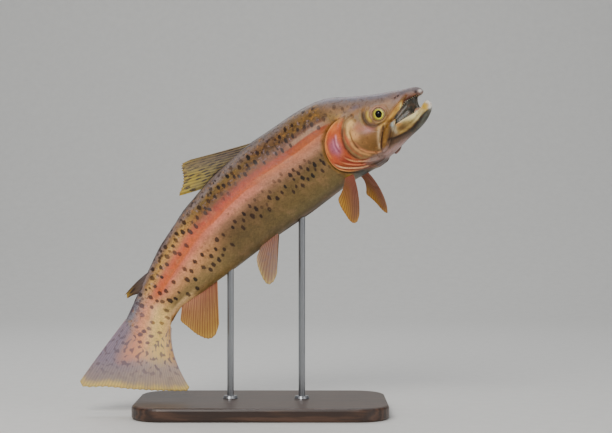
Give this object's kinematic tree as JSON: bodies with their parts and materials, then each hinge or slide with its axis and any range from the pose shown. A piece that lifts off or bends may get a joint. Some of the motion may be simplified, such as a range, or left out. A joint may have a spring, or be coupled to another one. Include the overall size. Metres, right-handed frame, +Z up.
{
  "type": "rainbow trout display model",
  "caption": "Life-size model of a rainbow trout leaping with its mouth open, held over a flat wooden base by steel rods.",
  "frame": {"origin": "centre of the stand base's underside", "axes": "+Z up, +X the way the head points seen from above, right flank towards -Y"},
  "size_m": [0.4197, 0.168, 0.3865],
  "materials": {
    "flank": "satin fish skin, olive back, red band, tan belly, dark spots",
    "jaw": "satin, cream and ochre",
    "cheek": "satin, orange red",
    "mouth": "wet, greyish pink",
    "eye": "glassy, yellow ring and black pupil",
    "fin": "satin web and rays",
    "base_wood": "dark oiled wood",
    "rod_steel": "brushed"
  },
  "bodies": {
    "root": {"head": "flank", "trunk": "flank", "tail_stem": "flank", "lower_jaw": "jaw", "upper_jaw_blade_right": "jaw", "upper_jaw_blade_left": "jaw", "gill_cover_right": "cheek", "gill_cover_left": "cheek", "tongue": "mouth", "eye_right": "eye", "eye_left": "eye", "dorsal_fin": "fin", "adipose_fin": "fin", "tail_fin": "fin", "anal_fin": "fin", "pelvic_fin_right": "fin", "pelvic_fin_left": "fin", "pectoral_fin_right": "fin", "pectoral_fin_left": "fin", "stand_base": "base_wood", "stand_rod_front": "rod_steel", "stand_rod_rear": "rod_steel"}
  },
  "joints": []
}
